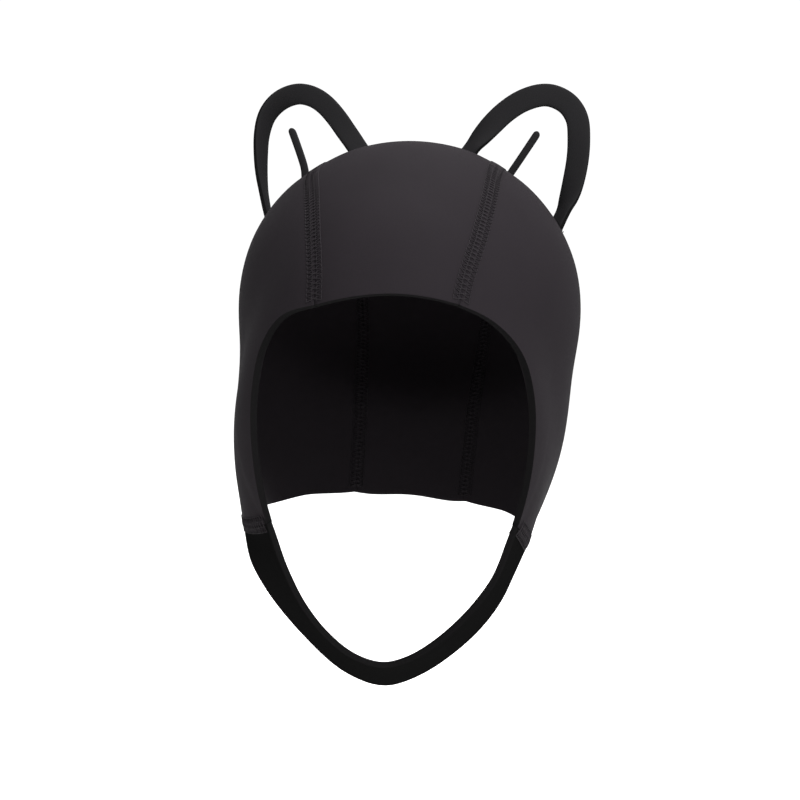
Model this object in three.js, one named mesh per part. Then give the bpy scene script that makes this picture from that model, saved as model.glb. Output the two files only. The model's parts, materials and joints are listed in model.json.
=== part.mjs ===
// A neoprene diving cap: three sewn panels, a chin strap, and two open ears with a tongue in each.
// It stands as it is worn. Millimetres, +Z up, the face opening towards -Y, +X to the viewer's right.
// The origin is the top of the head's room, on the inside of the crown.
// A clock angle is measured about the X axis through the form's centre: 0 is straight ahead, 90 up,
// 180 straight back. A spread angle is measured away from the X axis: 0 is the middle of the ear.

import * as THREE from 'three';

// Driving dimensions
const SHEET = 3;              // thickness of the neoprene
const SEAM_GAP = 0.3;         // between two pieces that are sewn edge to edge
const FOOT_GAP = 0.3;         // between the crown and what stands on it
const SEAM_DIP = 0.5;         // how far the stitching pulls the panels in along a seam
const SEAM_DIP_WIDTH = 4;     // how far from the seam most of that dip has faded out
const LEFT_EAR_WIDTH = 9.7;   // width of the strip of each ear
const RIGHT_EAR_WIDTH = 10.4;
const EAR_THICKNESS = 3;
const TONGUE_WIDTH = 3.4;     // as seen from the front
const TONGUE_DEPTH = 6;
const TIP_DEPTH_SHARE = 0.5;  // of the tongue's depth, what the rounded tip keeps at least
const STRIP_BEVEL = 0.7;      // softened long edges of the strips
const ROUGHNESS = 0.78;

// Steps and limits of the places that are found by trial
const SLOPE_STEP = 0.5;       // distance over which the form's slope is measured
const HALVINGS = 40;
const QUARTER_TURN = 90;
const MIDDLE_SPREAD = 90;     // spread angle of the cap's middle plane
const LEAST_SPREAD = 20;      // spread angle that no seam reaches
const LANDING = { near: -20, far: 30 };

// Divisions of the meshes
const SEAM_ROWS = 34;         // along the crown, from the forehead hem to the nape hem
const CROWN_COLUMNS = 8;      // across the crown panel
const SIDE_ROWS = 13;         // down a side panel, from the seam to its lower edge
const FACE_COLUMNS = 9;       // of a side panel's lower edge: beside the face, at the strap, by the neck
const STRAP_COLUMNS = 6;
const STRAP_STEPS = 3;        // between two rows of the strap's table
const EAR_STEPS = 3;          // between two rows of an ear's table
const TONGUE_STEPS = 6;
const TIP_STEPS = 3;
const TIP_TURN = 77;          // degrees of the tip's rounding that its rows reach

// Colours of the neoprene's faces
const PANEL_COLOUR = 0x141214;
const STRAP_COLOUR = 0x090909;
const EAR_COLOUR = 0x131213;

// The head's room is a smooth union of ellipsoids, seen from one centre
const FORM_CENTRE = new THREE.Vector3(0, 0, -90);
const FORM_PARTS = [
  { name: 'skull', centre: [0, 0, -70], half: [74, 93, 70], tilt: 0 },
  { name: 'jaw', centre: [0, -48, -132], half: [62, 55, 100], tilt: 0.25, blend: 5 },
  { name: 'ears', centre: [0, -2, -112], half: [70.5, 70, 78], tilt: 0, blend: 4 },
  { name: 'cheeks', centre: [0, -28, -122], half: [65.5, 62, 66], tilt: 0, blend: 4 },
  { name: 'neck', centre: [0, 12, -150], half: [56, 52, 80], tilt: 0, blend: 12 },
];

// The two seams of the crown panel: x at each clock angle
const SEAMS = [
  { clock: 0, left: -25.2, right: 26.0 },
  { clock: 15, left: -26.6, right: 27.6 },
  { clock: 30, left: -31.2, right: 31.2 },
  { clock: 45, left: -36.0, right: 33.3 },
  { clock: 60, left: -40.2, right: 33.8 },
  { clock: 90, left: -42.0, right: 34.2 },
  { clock: 130, left: -39.4, right: 34.0 },
  { clock: 170, left: -33.3, right: 31.4 },
  { clock: 200, left: -29.5, right: 29.0 },
  { clock: 225, left: -28.0, right: 28.0 },
  { clock: 240, left: -27.2, right: 27.2 },
];

// The crown panel's two hems: clock angle at each share of its width, from left to right
const FOREHEAD_HEM = [
  { share: 0, clock: 9.3 },
  { share: 0.3, clock: 11.2 },
  { share: 0.55, clock: 12.2 },
  { share: 0.8, clock: 12.2 },
  { share: 1, clock: 11.7 },
];
const NAPE_HEM = [
  { share: 0, clock: 232.2 },
  { share: 0.5, clock: 229.3 },
  { share: 1, clock: 232.2 },
];

// The side panels' edges: clock and spread angles on either side. The face edge runs on from the
// forehead hem down to the strap, the neck edge from the strap back to the nape hem.
const FACE_EDGE = [
  { leftClock: 6.7, leftSpread: 66.2, rightClock: 8.9, rightSpread: 65.4 },
  { leftClock: -1.5, leftSpread: 60.2, rightClock: 1.8, rightSpread: 56.6 },
  { leftClock: -12.0, leftSpread: 59.4, rightClock: -10.0, rightSpread: 52.2 },
  { leftClock: -27.0, leftSpread: 62.6, rightClock: -27.0, rightSpread: 53.6 },
  { leftClock: -41.0, leftSpread: 69.0, rightClock: -44.0, rightSpread: 60.3 },
];
const NECK_EDGE = [
  { leftClock: -56.3, leftSpread: 58.2, rightClock: -61.5, rightSpread: 56.4 },
  { leftClock: -74.0, leftSpread: 54.0, rightClock: -76.0, rightSpread: 53.2 },
  { leftClock: -93.0, leftSpread: 52.4, rightClock: -93.0, rightSpread: 52.4 },
  { leftClock: -118.0, leftSpread: 60.8, rightClock: -118.0, rightSpread: 60.8 },
];
const FACE_SHARE_ABOVE = 0.4;   // of each edge, the share that runs down beside the panel's rows
const NECK_SHARE_BEHIND = 0.65;

// The chin strap between its two joints: its front and its rear edge, on the outside
const STRAP = [
  { front: [-37.4, -84.6, -176.0], rear: [-55.8, -55.0, -182.1] },
  { front: [-33.0, -81.5, -186.2], rear: [-50.4, -53.0, -192.3] },
  { front: [-27.9, -77.4, -196.3], rear: [-43.6, -50.5, -202.2] },
  { front: [-19.6, -72.2, -207.8], rear: [-31.4, -47.5, -215.6] },
  { front: [-8.3, -67.4, -217.3], rear: [-14.3, -44.5, -229.8] },
  { front: [4.8, -64.7, -221.2], rear: [3.8, -43.0, -235.2] },
  { front: [15.5, -64.6, -217.9], rear: [18.9, -42.0, -229.6] },
  { front: [27.2, -66.2, -209.2], rear: [33.2, -42.0, -218.4] },
  { front: [37.8, -68.7, -197.5], rear: [45.0, -42.4, -205.0] },
  { front: [45.6, -70.2, -186.4], rear: [52.2, -43.0, -192.8] },
  { front: [51.0, -70.6, -176.5], rear: [56.3, -44.0, -181.7] },
];
const LEFT_STRAP_WAY = [0.45, -0.25, -0.86];   // the way each end leaves its joint
const RIGHT_STRAP_WAY = [-0.4, -0.1, -0.91];

// The ears: the middle line of each strip from its inner foot over the top to its outer foot,
// and how far the strip is turned out of the frontal plane, one way or the other
const LEFT_EAR = [
  { at: [-32.5, 9.5, 2.5], turn: -24 },
  { at: [-37.2, 10, 8.2], turn: -14 },
  { at: [-41.8, 10.5, 13.8], turn: -6 },
  { at: [-47.8, 11, 19.6], turn: -2 },
  { at: [-54.0, 11.5, 23.0], turn: 0 },
  { at: [-61.2, 12, 23.9], turn: 8 },
  { at: [-69.2, 12, 20.4], turn: 27 },
  { at: [-74.6, 11.5, 13.6], turn: 48 },
  { at: [-76.6, 11, 4.6], turn: 61 },
  { at: [-76.4, 10.5, -5.0], turn: 68 },
  { at: [-75.4, 10, -14.0], turn: 76 },
  { at: [-73.7, 9.5, -22.5], turn: 86 },
  { at: [-71.3, 9, -31.5], turn: 90 },
];
const RIGHT_EAR = [
  { at: [22.6, 9.5, 4.2], turn: -48 },
  { at: [26.2, 10, 9.2], turn: -28 },
  { at: [30.6, 10.5, 14.8], turn: -10 },
  { at: [36.2, 11, 20.8], turn: -4 },
  { at: [44.0, 11.5, 26.4], turn: 0 },
  { at: [54.2, 12, 29.4], turn: 0 },
  { at: [63.4, 12, 26.2], turn: 0 },
  { at: [68.6, 11.5, 19.4], turn: 2 },
  { at: [70.1, 11, 10.4], turn: 8 },
  { at: [70.3, 10.5, 1.4], turn: 14 },
  { at: [69.4, 10, -7.6], turn: 20 },
  { at: [68.0, 9.5, -15.4], turn: 35 },
  { at: [65.8, 9, -22.8], turn: 62 },
];
const LEFT_TONGUE = { tip: [-62.7, 10, 7.6], bend: [-56.6, 10, -6.4], foot: [-54.6, 10, -12.5] };
const RIGHT_TONGUE = { tip: [51.6, 10, 12.2], bend: [46.0, 10, 2.4], foot: [42.4, 10, -3.8] };

const radians = THREE.MathUtils.degToRad;
const degrees = THREE.MathUtils.radToDeg;
const vector = (row) => new THREE.Vector3(...row);

// Distance from the form's centre to the far side of one ellipsoid, along a unit direction
function reach(direction, part) {
  const [x, y, z] = part.half;
  const cos = Math.cos(part.tilt);
  const sin = Math.sin(part.tilt);
  const scaled = (v) => new THREE.Vector3(
    v.x / x,
    (v.y * cos + v.z * sin) / y,
    (v.z * cos - v.y * sin) / z,
  );
  const ray = scaled(direction);
  const centre = scaled(vector(part.centre).sub(FORM_CENTRE));
  const along = ray.dot(centre);
  const length = ray.lengthSq();
  const inside = along * along - length * (centre.lengthSq() - 1);
  return inside > 0 ? (along + Math.sqrt(inside)) / length : 0;
}

const softMaximum = (a, b, blend) => {
  const larger = Math.max(a, b);
  return larger + blend * Math.log(Math.exp((a - larger) / blend) + Math.exp((b - larger) / blend));
};

// Radius of the head's room along a unit direction from the form's centre
function radius(direction) {
  return FORM_PARTS.slice(1).reduce(
    (so_far, part) => softMaximum(so_far, reach(direction, part), part.blend),
    reach(direction, FORM_PARTS[0]),
  );
}

// How far a point lies outside the head's room, and the direction straight away from it
function excess(point) {
  const offset = point.clone().sub(FORM_CENTRE);
  const length = offset.length();
  return length - radius(offset.divideScalar(length));
}

function slope(point) {
  const along = (x, y, z) => {
    const shift = new THREE.Vector3(x, y, z).multiplyScalar(SLOPE_STEP);
    const rise = excess(point.clone().add(shift)) - excess(point.clone().sub(shift));
    return rise / (2 * SLOPE_STEP);
  };
  return new THREE.Vector3(along(1, 0, 0), along(0, 1, 0), along(0, 0, 1));
}

const clearance = (point) => excess(point) / slope(point).length();

// A smooth curve through a column of a table whose rows are ordered by their key
function curveThrough(rows, key, column) {
  const at = rows.map((row) => row[key]);
  const value = rows.map((row) => row[column]);
  const last = rows.length - 1;
  const steepness = (i) => {
    const before = Math.max(i - 1, 0);
    const after = Math.min(i + 1, last);
    return (value[after] - value[before]) / (at[after] - at[before]);
  };
  return (position) => {
    const next = at.findIndex((place) => place >= position);
    const i = next < 0 ? last - 1 : Math.max(next - 1, 0);
    const span = at[i + 1] - at[i];
    const t = THREE.MathUtils.clamp((position - at[i]) / span, 0, 1);
    const rise = (value[i + 1] - value[i]) * t * t * (3 - 2 * t);
    const leave = steepness(i) * t * (1 - t) * (1 - t) * span;
    const arrive = steepness(i + 1) * t * t * (t - 1) * span;
    return value[i] + rise + leave + arrive;
  };
}

const seamLine = {
  left: curveThrough(SEAMS, 'clock', 'left'),
  right: curveThrough(SEAMS, 'clock', 'right'),
};
const foreheadHem = curveThrough(FOREHEAD_HEM, 'share', 'clock');
const napeHem = curveThrough(NAPE_HEM, 'share', 'clock');

// A unit direction from the form's centre, by its clock and spread angles; side is -1 or 1
function direction(clock, spread, side) {
  const out = Math.sin(radians(spread));
  return new THREE.Vector3(
    side * Math.cos(radians(spread)),
    -out * Math.cos(radians(clock)),
    out * Math.sin(radians(clock)),
  );
}

// The direction at a clock angle that meets the head's room at a given x, found by halving
function directionAt(clock, x) {
  const side = Math.sign(x) || 1;
  let narrow = MIDDLE_SPREAD;
  let wide = LEAST_SPREAD;
  for (let i = 0; i < HALVINGS; i += 1) {
    const middle = (narrow + wide) / 2;
    const ray = direction(clock, middle, side);
    if (Math.abs(ray.x) * radius(ray) < Math.abs(x)) narrow = middle;
    else wide = middle;
  }
  return direction(clock, narrow, side);
}

// How far the stitching pulls a place in, by its distance across the nearest seam
function dip(ray) {
  const point = ray.clone().multiplyScalar(radius(ray));
  const turn = degrees(Math.atan2(ray.z, -ray.y));
  const clock = turn < -QUARTER_TURN ? turn + 4 * QUARTER_TURN : turn;
  const distance = Math.min(
    Math.abs(point.x - seamLine.left(clock)),
    Math.abs(point.x - seamLine.right(clock)),
  );
  return -SEAM_DIP * Math.exp(-((distance / SEAM_DIP_WIDTH) ** 2));
}

// The inner and the outer face of the neoprene along one direction
function wall(ray) {
  const inside = ray.clone().multiplyScalar(radius(ray)).add(FORM_CENTRE);
  const away = slope(inside).normalize();
  inside.addScaledVector(away, dip(ray));
  return { inside, outside: inside.clone().addScaledVector(away, SHEET) };
}

// A closed body from rows of loops of points, its two ends filled by the given triangles
function closedBody(name, loops, endTriangles, colour) {
  const count = loops[0].length;
  const positions = loops.flat().flatMap((point) => point.toArray());
  const faces = [];
  for (let i = 0; i + 1 < loops.length; i += 1) {
    for (let j = 0; j < count; j += 1) {
      const a = i * count + j;
      const b = i * count + ((j + 1) % count);
      faces.push(a, b, b + count, a, b + count, a + count);
    }
  }
  const lastLoop = (loops.length - 1) * count;
  endTriangles.forEach(([a, b, c]) => {
    faces.push(c, b, a);
    faces.push(a + lastLoop, b + lastLoop, c + lastLoop);
  });
  const geometry = new THREE.BufferGeometry();
  geometry.setAttribute('position', new THREE.Float32BufferAttribute(positions, 3));
  geometry.setIndex(signedVolume(loops, faces) < 0 ? faces.reverse() : faces);
  geometry.computeVertexNormals();
  const material = new THREE.MeshStandardMaterial({ color: colour, roughness: ROUGHNESS, metalness: 0 });
  const mesh = new THREE.Mesh(geometry, material);
  mesh.name = name;
  return mesh;
}

function signedVolume(loops, faces) {
  const points = loops.flat();
  let volume = 0;
  for (let i = 0; i < faces.length; i += 3) {
    const [a, b, c] = faces.slice(i, i + 3).map((index) => points[index]);
    volume += a.dot(b.clone().cross(c));
  }
  return volume;
}

// A sheet of neoprene: each row is a list of walls, from one edge of the sheet to the other
function sheet(name, rows, colour) {
  const width = rows[0].length;
  const loops = rows.map((row) => [
    ...row.map((place) => place.inside),
    ...row.map((place) => place.outside).reverse(),
  ]);
  const ends = [];
  for (let j = 0; j + 1 < width; j += 1) {
    const below = 2 * width - 1 - j;
    ends.push([j, j + 1, below], [j + 1, below - 1, below]);
  }
  return closedBody(name, loops, ends, colour);
}

// The crown panel: rows across the head from the forehead hem to the nape hem
function crownPanel() {
  const rows = [];
  for (let i = 0; i <= SEAM_ROWS; i += 1) {
    const row = [];
    for (let j = 0; j <= CROWN_COLUMNS; j += 1) {
      const across = j / CROWN_COLUMNS;
      const clock = THREE.MathUtils.lerp(foreheadHem(across), napeHem(across), i / SEAM_ROWS);
      const x = THREE.MathUtils.lerp(
        seamLine.left(clock) + SEAM_GAP / 2,
        seamLine.right(clock) - SEAM_GAP / 2,
        across,
      );
      row.push(wall(directionAt(clock, x)));
    }
    rows.push(row);
  }
  return sheet('crown_panel', rows, PANEL_COLOUR);
}

// A side panel is laid out on a flat chart round the middle of the ear, where a place is its
// spread angle away from the middle, at its clock angle
const chart = (clock, spread) =>
  new THREE.Vector2(spread * Math.cos(radians(clock)), spread * Math.sin(radians(clock)));

function offChart(place, side) {
  return direction(degrees(Math.atan2(place.y, place.x)), place.length(), side);
}

function onChart(ray) {
  return chart(degrees(Math.atan2(ray.z, -ray.y)), degrees(Math.acos(Math.abs(ray.x))));
}

const sideName = (side) => (side < 0 ? 'left' : 'right');

// One column pair of an edge's table as points of the chart
const edgeOnChart = (rows, side) =>
  rows.map((row) => chart(row[`${sideName(side)}Clock`], row[`${sideName(side)}Spread`]));

// The crown seam of a side panel on its chart, by a share from the forehead to the nape
function seamOnChart(share, side) {
  const hemShare = side < 0 ? 0 : 1;
  const clock = THREE.MathUtils.lerp(foreheadHem(hemShare), napeHem(hemShare), share);
  return onChart(directionAt(clock, seamLine[sideName(side)](clock) + (side * SEAM_GAP) / 2));
}

// The four sides of a side panel's chart, the lower one by its column
function panelSides(side) {
  const seam = (share) => seamOnChart(share, side);
  const face = new THREE.SplineCurve([seam(0), ...edgeOnChart(FACE_EDGE, side)]);
  const neck = new THREE.SplineCurve([...edgeOnChart(NECK_EDGE, side), seam(1)]);
  const neckColumn = FACE_COLUMNS + STRAP_COLUMNS;
  const lower = (column) => {
    if (column <= FACE_COLUMNS) {
      return face.getPointAt(THREE.MathUtils.lerp(FACE_SHARE_ABOVE, 1, column / FACE_COLUMNS));
    }
    if (column < neckColumn) {
      return face.getPointAt(1).lerp(neck.getPointAt(0), (column - FACE_COLUMNS) / STRAP_COLUMNS);
    }
    return neck.getPointAt(((column - neckColumn) / (SEAM_ROWS - neckColumn)) * NECK_SHARE_BEHIND);
  };
  return {
    seam,
    lower,
    front: (share) => face.getPointAt(share * FACE_SHARE_ABOVE),
    back: (share) => neck.getPointAt(THREE.MathUtils.lerp(1, NECK_SHARE_BEHIND, share)),
  };
}

// A side panel: its chart is filled evenly between its four sides
function sidePanel(side) {
  const { seam, lower, front, back } = panelSides(side);
  const corners = [seam(0), seam(1), lower(0), lower(SEAM_ROWS)];
  const rows = [];
  for (let i = 0; i <= SEAM_ROWS; i += 1) {
    const s = i / SEAM_ROWS;
    const row = [];
    for (let j = 0; j <= SIDE_ROWS; j += 1) {
      const t = j / SIDE_ROWS;
      const place = seam(s).multiplyScalar(1 - t);
      place.addScaledVector(lower(i), t);
      place.addScaledVector(front(t), 1 - s);
      place.addScaledVector(back(t), s);
      place.addScaledVector(corners[0], -(1 - s) * (1 - t));
      place.addScaledVector(corners[1], -s * (1 - t));
      place.addScaledVector(corners[2], -(1 - s) * t);
      place.addScaledVector(corners[3], -s * t);
      row.push(wall(offChart(place, side)));
    }
    rows.push(row);
  }
  return sheet(`${sideName(side)}_side_panel`, rows, PANEL_COLOUR);
}

// The row of walls where the strap is joined to a side panel, moved by the seam's gap
function strapJoint(side, way) {
  const face = edgeOnChart(FACE_EDGE, side).pop();
  const neck = edgeOnChart(NECK_EDGE, side)[0];
  const row = [];
  for (let j = 0; j <= STRAP_COLUMNS; j += 1) {
    const place = wall(offChart(face.clone().lerp(neck, j / STRAP_COLUMNS), side));
    const shift = vector(way).multiplyScalar(SEAM_GAP);
    row.push({ inside: place.inside.add(shift), outside: place.outside.add(shift) });
  }
  return row;
}

// The chin strap: a loft through its table, from the left joint under the chin to the right one
function chinStrap() {
  const left = strapJoint(-1, LEFT_STRAP_WAY);
  const right = strapJoint(1, RIGHT_STRAP_WAY);
  const outer = (row, j) => row[j].outside;
  const curve = (edge, j) => new THREE.CatmullRomCurve3(
    [outer(left, j), ...STRAP.map((row) => vector(row[edge])), outer(right, j)],
    false,
    'centripetal',
  );
  const front = curve('front', 0);
  const rear = curve('rear', STRAP_COLUMNS);
  const spans = STRAP.length + 1;
  const steps = spans * STRAP_STEPS;
  const rows = [left];
  for (let i = 1; i < steps; i += 1) {
    const share = i / steps;
    const a = front.getPoint(share);
    const b = rear.getPoint(share);
    const along = front.getTangent(share).add(rear.getTangent(share)).normalize();
    const away = b.clone().sub(a).cross(along).normalize();
    const row = [];
    for (let j = 0; j <= STRAP_COLUMNS; j += 1) {
      const outside = a.clone().lerp(b, j / STRAP_COLUMNS);
      row.push({ inside: outside.clone().addScaledVector(away, -SHEET), outside });
    }
    rows.push(row);
  }
  rows.push(right);
  return sheet('chin_strap', rows, STRAP_COLOUR);
}

// An eight-sided section of a strip, as points in its own width and thickness directions
function stripSection(width, thickness) {
  const w = width / 2;
  const t = thickness / 2;
  const b = STRIP_BEVEL;
  return [
    [-w + b, -t], [w - b, -t], [w, -t + b], [w, t - b],
    [w - b, t], [-w + b, t], [-w, t - b], [-w, -t + b],
  ];
}

const octagonEnd = [1, 2, 3, 4, 5, 6].map((j) => [0, j, j + 1]);

// Moves a point along a direction until it stands off the crown by the foot's gap
function landOnCrown(point, downwards) {
  let { near, far } = LANDING;
  for (let i = 0; i < HALVINGS; i += 1) {
    const middle = (near + far) / 2;
    const place = point.clone().addScaledVector(downwards, middle);
    if (clearance(place) > SHEET + FOOT_GAP) near = middle;
    else far = middle;
  }
  return point.clone().addScaledVector(downwards, near);
}

// One loop of a strip, square to its middle line and turned about it
function stripLoop(middle, along, turn, section) {
  const flat = new THREE.Vector3(0, 1, 0).cross(along).normalize();
  const across = flat.clone().applyAxisAngle(along, turn);
  const through = along.clone().cross(across);
  const corner = ([w, t]) => middle.clone().addScaledVector(across, w).addScaledVector(through, t);
  return section.map(corner);
}

// An ear: a strip along its table, with both feet cut to the crown
function earLoop(name, rows, width, side) {
  const line = new THREE.CatmullRomCurve3(rows.map((row) => vector(row.at)), false, 'centripetal');
  const turns = curveThrough(rows.map((row, index) => ({ index, turn: row.turn })), 'index', 'turn');
  const section = stripSection(width, EAR_THICKNESS);
  const spans = rows.length - 1;
  const steps = spans * EAR_STEPS;
  const loops = [];
  for (let i = 0; i <= steps; i += 1) {
    const share = i / steps;
    const turn = radians(turns(share * spans)) * side;
    loops.push(stripLoop(line.getPoint(share), line.getTangent(share), turn, section));
  }
  const into = [line.getTangent(0).negate(), line.getTangent(1)];
  loops.unshift(loops[0].map((point) => landOnCrown(point, into[0])));
  loops.push(loops[loops.length - 1].map((point) => landOnCrown(point, into[1])));
  return closedBody(name, loops, octagonEnd, EAR_COLOUR);
}

// A tongue: a narrow strip from the crown to its rounded tip
function earTongue(name, row) {
  const [foot, bend, tip] = [vector(row.foot), vector(row.bend), vector(row.tip)];
  const control = bend.clone().multiplyScalar(2).sub(foot.clone().add(tip).divideScalar(2));
  const line = new THREE.QuadraticBezierCurve3(foot, control, tip);
  const rounding = TONGUE_WIDTH / 2 / line.getLength();
  const loops = [];
  const addLoop = (share, size) => {
    const depth = THREE.MathUtils.lerp(TIP_DEPTH_SHARE, 1, size);
    const section = stripSection(TONGUE_WIDTH, TONGUE_DEPTH).map(([w, t]) => [w * size, t * depth]);
    loops.push(stripLoop(line.getPointAt(share), line.getTangentAt(share), 0, section));
  };
  for (let i = 0; i <= TONGUE_STEPS; i += 1) {
    addLoop((i / TONGUE_STEPS) * (1 - rounding), 1);
  }
  for (let i = 1; i <= TIP_STEPS; i += 1) {
    const angle = radians((i / TIP_STEPS) * TIP_TURN);
    addLoop(1 - rounding + rounding * Math.sin(angle), Math.cos(angle));
  }
  loops.unshift(loops[0].map((point) => landOnCrown(point, line.getTangentAt(0).negate())));
  return closedBody(name, loops, octagonEnd, EAR_COLOUR);
}

const cap = new THREE.Group();
cap.add(
  crownPanel(),
  sidePanel(-1),
  sidePanel(1),
  chinStrap(),
  earLoop('left_ear_loop', LEFT_EAR, LEFT_EAR_WIDTH, -1),
  earLoop('right_ear_loop', RIGHT_EAR, RIGHT_EAR_WIDTH, 1),
  earTongue('left_ear_tongue', LEFT_TONGUE),
  earTongue('right_ear_tongue', RIGHT_TONGUE),
);

export default cap;
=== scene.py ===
"""Neoprene diving cap with two open ears: its looks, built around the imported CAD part.

Millimetre values are named with MM. The object's place is the CAD's: +Z up, the face opening
towards -Y, +X to the viewer's right, the origin at the top of the head's room.
A clock angle is measured about the X axis through the form's centre: 0 is straight ahead, 90 up.
"""

import json
import math

import bmesh
import bpy
from mathutils import Matrix, Vector, noise
from mathutils.bvhtree import BVHTree
from mathutils.kdtree import KDTree


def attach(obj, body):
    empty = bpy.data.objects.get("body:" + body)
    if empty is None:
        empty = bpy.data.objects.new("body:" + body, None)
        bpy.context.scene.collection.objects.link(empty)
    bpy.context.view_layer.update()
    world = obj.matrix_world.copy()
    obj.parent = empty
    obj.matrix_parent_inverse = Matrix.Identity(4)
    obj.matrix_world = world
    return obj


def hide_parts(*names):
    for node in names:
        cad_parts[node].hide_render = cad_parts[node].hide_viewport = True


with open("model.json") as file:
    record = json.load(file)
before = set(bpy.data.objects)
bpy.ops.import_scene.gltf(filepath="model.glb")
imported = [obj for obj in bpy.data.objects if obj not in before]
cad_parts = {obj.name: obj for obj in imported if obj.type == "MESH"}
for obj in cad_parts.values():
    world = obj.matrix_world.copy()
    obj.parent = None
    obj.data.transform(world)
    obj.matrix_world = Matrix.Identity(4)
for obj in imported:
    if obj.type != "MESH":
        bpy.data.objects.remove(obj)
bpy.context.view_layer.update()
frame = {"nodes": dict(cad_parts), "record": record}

bl_info = {
    "name": "Neoprene Diving Cap",
    "version": (1, 0, 0),
    "blender": (4, 5, 0),
    "location": "View3D > Sidebar > Diving Cap",
    "description": "Builds the looks of a neoprene diving cap with two open ears",
    "category": "Object",
}

MM = 0.001
BODY = "root"
PIECE_ENDING = "_neoprene"         # a piece's name is its CAD node's name with this ending

# The CAD part's own places
SHEET = 3.0 * MM
FORM_CENTRE = Vector((0.0, 0.0, -90.0)) * MM
STRAP_CENTRE = Vector((3.0, -25.0, -178.0)) * MM
CROWN_SEAMS = [
    {"clock": 0, "left": -25.2, "right": 26.0},
    {"clock": 15, "left": -26.6, "right": 27.6},
    {"clock": 30, "left": -31.2, "right": 31.2},
    {"clock": 45, "left": -36.0, "right": 33.3},
    {"clock": 60, "left": -40.2, "right": 33.8},
    {"clock": 90, "left": -42.0, "right": 34.2},
    {"clock": 130, "left": -39.4, "right": 34.0},
    {"clock": 170, "left": -33.3, "right": 31.4},
    {"clock": 200, "left": -29.5, "right": 29.0},
    {"clock": 225, "left": -28.0, "right": 28.0},
    {"clock": 240, "left": -27.2, "right": 27.2},
]
SEAM_ENDS = {"left": (9.3, 232.2), "right": (11.7, 232.2)}
STRAP_JOINTS = {
    "left": {"front": (-41.0, 69.0), "rear": (-56.3, 58.2)},
    "right": {"front": (-44.0, 60.3), "rear": (-61.5, 56.4)},
}
EAR_CENTRES = {"left": (-57.0 * MM, -4.0 * MM), "right": (47.5 * MM, 2.0 * MM)}
SIDE_SIGN = {"left": -1, "right": 1}
CROWN_SHEETS = ("crown_panel", "left_side_panel", "right_side_panel")
SHEETS = (*CROWN_SHEETS, "chin_strap")

# How the CAD's meshes are read
MERGE_DISTANCE = 0.01 * MM
QUAD_BEND = math.radians(50)       # how far two triangles may bend and still become one quad
QUAD_SKEW = math.radians(70)       # how far that quad's corners may be from square
CROSS_LENGTH = (0.9 * SHEET, 1.1 * SHEET)  # of an edge that crosses the sheet's thickness
CROSS_AIM = 0.6                    # how straight such an edge points to the centre, at least
RIM_CORNER = math.radians(40)      # the rim's faces meet at a corner from this angle on
STRIP_EDGE = (1.3 * MM, 1.75 * MM)  # the least and the greatest width of an ear strip's cut edge
STRIP_FACE = 6.0 * MM              # a face longer than this is on the strip's flat side
FOOT_REACH = 1.1 * MM              # how close to the crown a foot's end is
FOOT_DEPTH = 0.15 * MM             # how far it is let into the knitted face
FOOT_CONTACT = 1.5 * FOOT_DEPTH    # a point of a foot lies this close to the crown's surface
FOOT_SPAN = 16 * MM                # the points of one foot lie within this of each other

# Radii that lay the knit out flat
CROWN_RADIUS = 85 * MM
SIDE_RADIUS = 80 * MM
STRAP_RADIUS = 52 * MM
EAR_RADIUS = 24 * MM
KNIT_MAP = "Knit"
# A point attribute from 0 to 1 that holds the painted shade in the groove beside each seam
SEAM_SHADE_ATTRIBUTE = "painted_seam_shade"

# Patterns of the finishes, by their frequency in a metre and their detail
CLOUD = {"scale": 32.0, "detail": 2.0}         # the dye's broad, faint clouds
YARN_MOTTLE = {"scale": 620.0, "detail": 3.0}  # the yarn's unevenness
FOAM_MOTTLE = {"scale": 900.0, "detail": 2.0}
FIBRE = {"scale": 2400.0, "detail": 2.0}       # the fibres of the sewing thread
FLOOR_GRAIN = {"scale": 4.0, "detail": 2.0}
NOISE_ROUGHNESS = 0.55
FOAM_CELLS = 2600.0

# How much each pattern adds to the tone and to the relief of the knitted face; in the tone, the seam
# term is painted shade beside the seams and the knit term is painted shade between the loops
JERSEY_TONE = {"ground": 0.83, "cloud": 0.18, "mottle": 0.11, "knit": 0.05, "seam_shade": 0.08}
JERSEY_RELIEF = {"knit": 0.75, "mottle": 0.5}
JERSEY_SHINE = {"sheen": 0.003, "gloss": 0.01}
STRAP_SHINE = {"sheen": 0.0, "gloss": 0.0}

# Layers of the shallow waves of the stretched neoprene
WAVES = [
    {"frequency": 24.0, "share": 0.7, "shift": Vector((0.0, 0.0, 0.0))},
    {"frequency": 55.0, "share": 0.3, "shift": Vector((3.0, 7.0, 1.0))},
]

# Stitching
NEEDLES = (-1.5, -0.5, 0.5, 1.5)   # needle rows, in needle spacings from the seam
SEAM_SAMPLE_ANGLE = 0.25
SEAM_SIDE_STEP = 1.2 * MM          # how far beside the seam its place is felt
JOINT_SAMPLES = 60                 # along a joint of the strap, from its front to its rear
JOINT_END_SAMPLES = 2              # kept free at each end
JOINT_SIDE_STEP = 1.2              # the side step at the strap's joints, in degrees
SEAM_END_MARGIN = 0.7              # degrees kept free at each end of a crown seam
MIDDLE_SPREAD = 90.0               # spread angle of the cap's middle plane, in degrees
SEWN_REACH = 4.3 * MM              # how far from a seam's line the sewn edges of the sheets lie
SEWN_CLOSING = 0.16 * MM           # how far each sewn edge is drawn up to the other
SKIN_REACH = 5.0 * MM              # how far off the surface the search for a thread's place starts
PRESS_WIDTH = 3.6 * MM             # how far from a seam most of the stitching's pull has faded out
PUCKER_LENGTH = 6.3 * MM           # from one pucker along a seam to the next
PUCKER_EVENNESS = 0.6              # the share of the pull that is the same all along
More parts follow.
